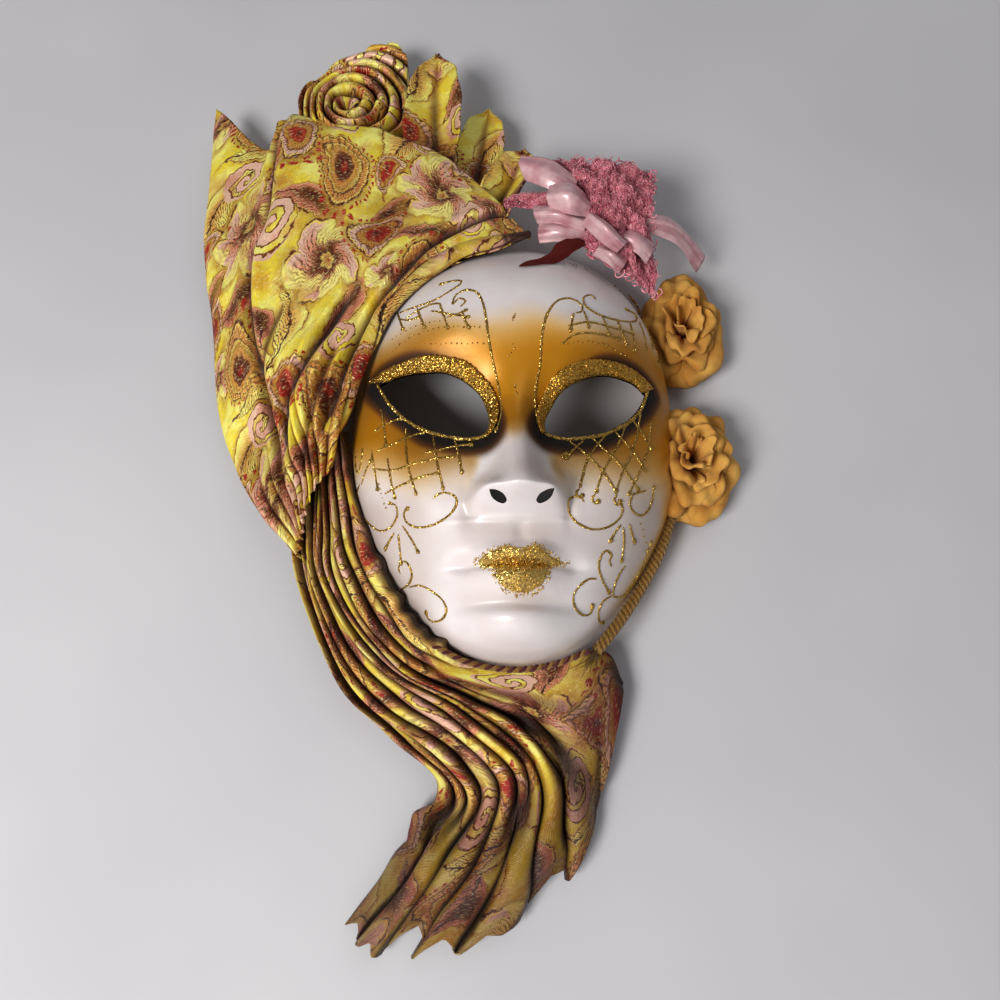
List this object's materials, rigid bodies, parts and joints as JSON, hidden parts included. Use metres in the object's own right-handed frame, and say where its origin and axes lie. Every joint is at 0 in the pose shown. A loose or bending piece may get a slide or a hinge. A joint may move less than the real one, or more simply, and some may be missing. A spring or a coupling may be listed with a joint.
{
  "type": "venetian mask",
  "caption": "Full-face decorative mask on its back: pearl shell with almond eye openings, glitter tracery, pleated brocade fan, sash and rosette, pink flower, cloth roses and cord.",
  "frame": {"origin": "under the middle of the bounding box, on the surface that the mask lies on", "axes": "+Y towards the forehead and rosette, +Z out of the face, +X towards the side with the cloth roses"},
  "size_m": [0.285, 0.4812, 0.0873],
  "materials": {
    "pearl_shell": "pearl lacquer with gold and black airbrushing and gold glitter",
    "brocade": "yellow satin brocade with maroon, dusty pink and metallic gold paisley",
    "pink_satin": "pearly ribbon satin",
    "rose_lace": "lace with glitter thread",
    "peach_cloth": "soft matt cloth",
    "gold_twist": "metallic twisted cord",
    "burgundy_twist": "burgundy and gold braid",
    "red_feather": "soft down"
  },
  "bodies": {
    "root": {"face_shell": "pearl_shell", "gold_cord": "gold_twist", "chin_cord": "burgundy_twist", "edge_band": "brocade", "feather": "red_feather", "satin_flower": "pink_satin", "lace_frill": "rose_lace", "rose_upper": "peach_cloth", "rose_lower": "peach_cloth", "pleated_sash": "brocade", "brocade_fan": "brocade", "brocade_leaf_tall": "brocade", "brocade_leaf_short": "brocade", "brocade_leaf_curled": "brocade", "rosette": "brocade"}
  },
  "joints": []
}
